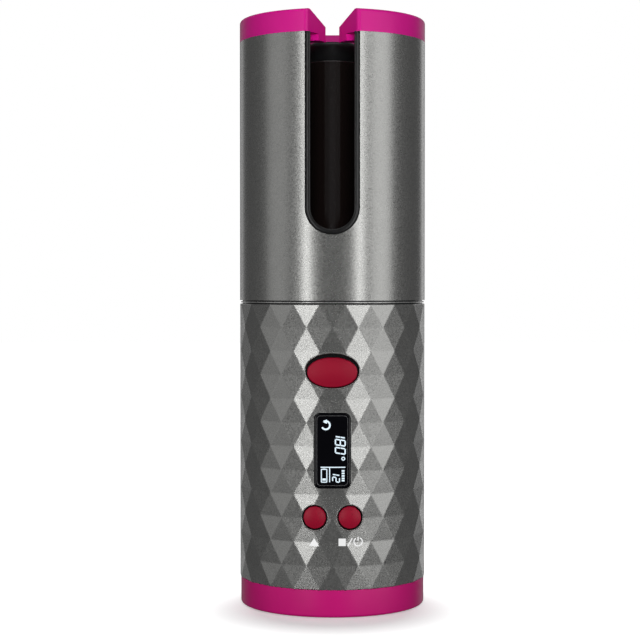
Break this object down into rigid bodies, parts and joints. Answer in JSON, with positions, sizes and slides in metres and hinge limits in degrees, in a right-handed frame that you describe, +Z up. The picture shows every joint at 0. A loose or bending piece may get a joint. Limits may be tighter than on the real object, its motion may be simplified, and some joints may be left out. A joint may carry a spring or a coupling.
{
  "type": "automatic hair curler",
  "caption": "Upright cordless hair curler with a faceted handle, keys, small display, slotted head, turning drum and fixed heated rod.",
  "frame": {"origin": "centre of the foot on the surface it stands on", "axes": "+Z up along the body's axis, -Y towards the side with buttons, display and hair slot, +X to the right of someone who looks at that side"},
  "size_m": [0.062, 0.062, 0.1946],
  "materials": {
    "grey_paint": "metallic grey paint on moulded plastic",
    "magenta_plastic": "satin gloss moulded plastic",
    "crimson_plastic": "satin moulded plastic",
    "black_plastic": "fine-grained heat-proof plastic",
    "black_rubber": "matt silicone rubber",
    "window_plastic": "polished smoked plastic",
    "display_glass": "bonded glass panel",
    "rod_ceramic": "glossy ceramic coating on aluminium",
    "white_ceramic": "sintered ceramic plate",
    "nylon": "natural nylon",
    "heatproof_brown": "glass-filled heat-proof plastic",
    "steel": "zinc-plated steel",
    "aluminium": "cast aluminium",
    "brass": "turned brass",
    "circuit_board": "solder-masked glass laminate",
    "chip_black": "moulded chip packages",
    "cell_sleeve": "shrink sleeve over a cell can",
    "red_wire": "insulated wire",
    "black_wire": "insulated wire",
    "white_wire": "heat-proof sleeved wire"
  },
  "bodies": {
    "housing": {"foot_ring": "black_rubber", "base_cap": "magenta_plastic", "base_screws": "steel", "charging_socket": "steel", "charging_board": "circuit_board", "handle_front_shell": "grey_paint", "handle_rear_shell": "grey_paint", "joint_ring": "grey_paint", "button_switches": "steel", "display_window": "window_plastic", "display_panel": "display_glass", "display_holder": "nylon", "main_board": "circuit_board", "board_components": "chip_black", "board_screws": "steel", "buzzer": "black_plastic", "chassis": "nylon", "battery_cells": "cell_sleeve", "battery_tabs": "steel", "battery_holder": "nylon", "battery_leads": "red_wire", "charging_leads": "black_wire", "motor_leads": "red_wire", "heater_leads": "white_wire", "motor": "steel", "gearbox": "steel", "motor_screws": "steel", "hall_sensor": "chip_black", "sensor_board": "circuit_board", "rod_base": "heatproof_brown", "rod_base_screws": "steel", "heater_rod": "rod_ceramic", "heater_plate": "white_ceramic", "heat_spreaders": "aluminium", "thermistor": "chip_black", "thermal_fuse": "steel", "rod_tip": "black_plastic", "head_liner": "black_plastic", "liner_screws": "steel", "head_shell": "grey_paint", "top_cap": "magenta_plastic"},
    "drum": {"winding_drum": "black_plastic", "drum_gear": "nylon", "drum_bush": "brass", "drum_magnet": "steel"},
    "pinion": {"drive_shaft": "steel", "drive_pinion": "brass"},
    "start_key": {"start_button": "crimson_plastic", "start_plunger": "black_plastic"},
    "up_key": {"up_button": "crimson_plastic", "up_plunger": "black_plastic"},
    "power_key": {"power_button": "crimson_plastic", "power_plunger": "black_plastic"}
  },
  "joints": [
    {"name": "drum_spin", "type": "hinge", "parent": "housing", "child": "drum", "pos_m": [0, 0, 0.15], "axis": [0, 0, 1], "continuous": true},
    {"name": "pinion_spin", "type": "hinge", "parent": "housing", "child": "pinion", "pos_m": [0.01729, -0.00629, 0.105], "axis": [0, 0, 1], "continuous": true},
    {"name": "start_press", "type": "slide", "parent": "housing", "child": "start_key", "axis": [0, 1, 0], "range_m": [0, 0.0005], "stiffness_N_per_m": 800},
    {"name": "up_press", "type": "slide", "parent": "housing", "child": "up_key", "axis": [0, 1, 0], "range_m": [0, 0.0005], "stiffness_N_per_m": 800},
    {"name": "power_press", "type": "slide", "parent": "housing", "child": "power_key", "axis": [0, 1, 0], "range_m": [0, 0.0005], "stiffness_N_per_m": 800}
  ],
  "couplings": [
    {"joint": "pinion_spin", "follows": "drum_spin", "ratio": -2.8333}
  ]
}
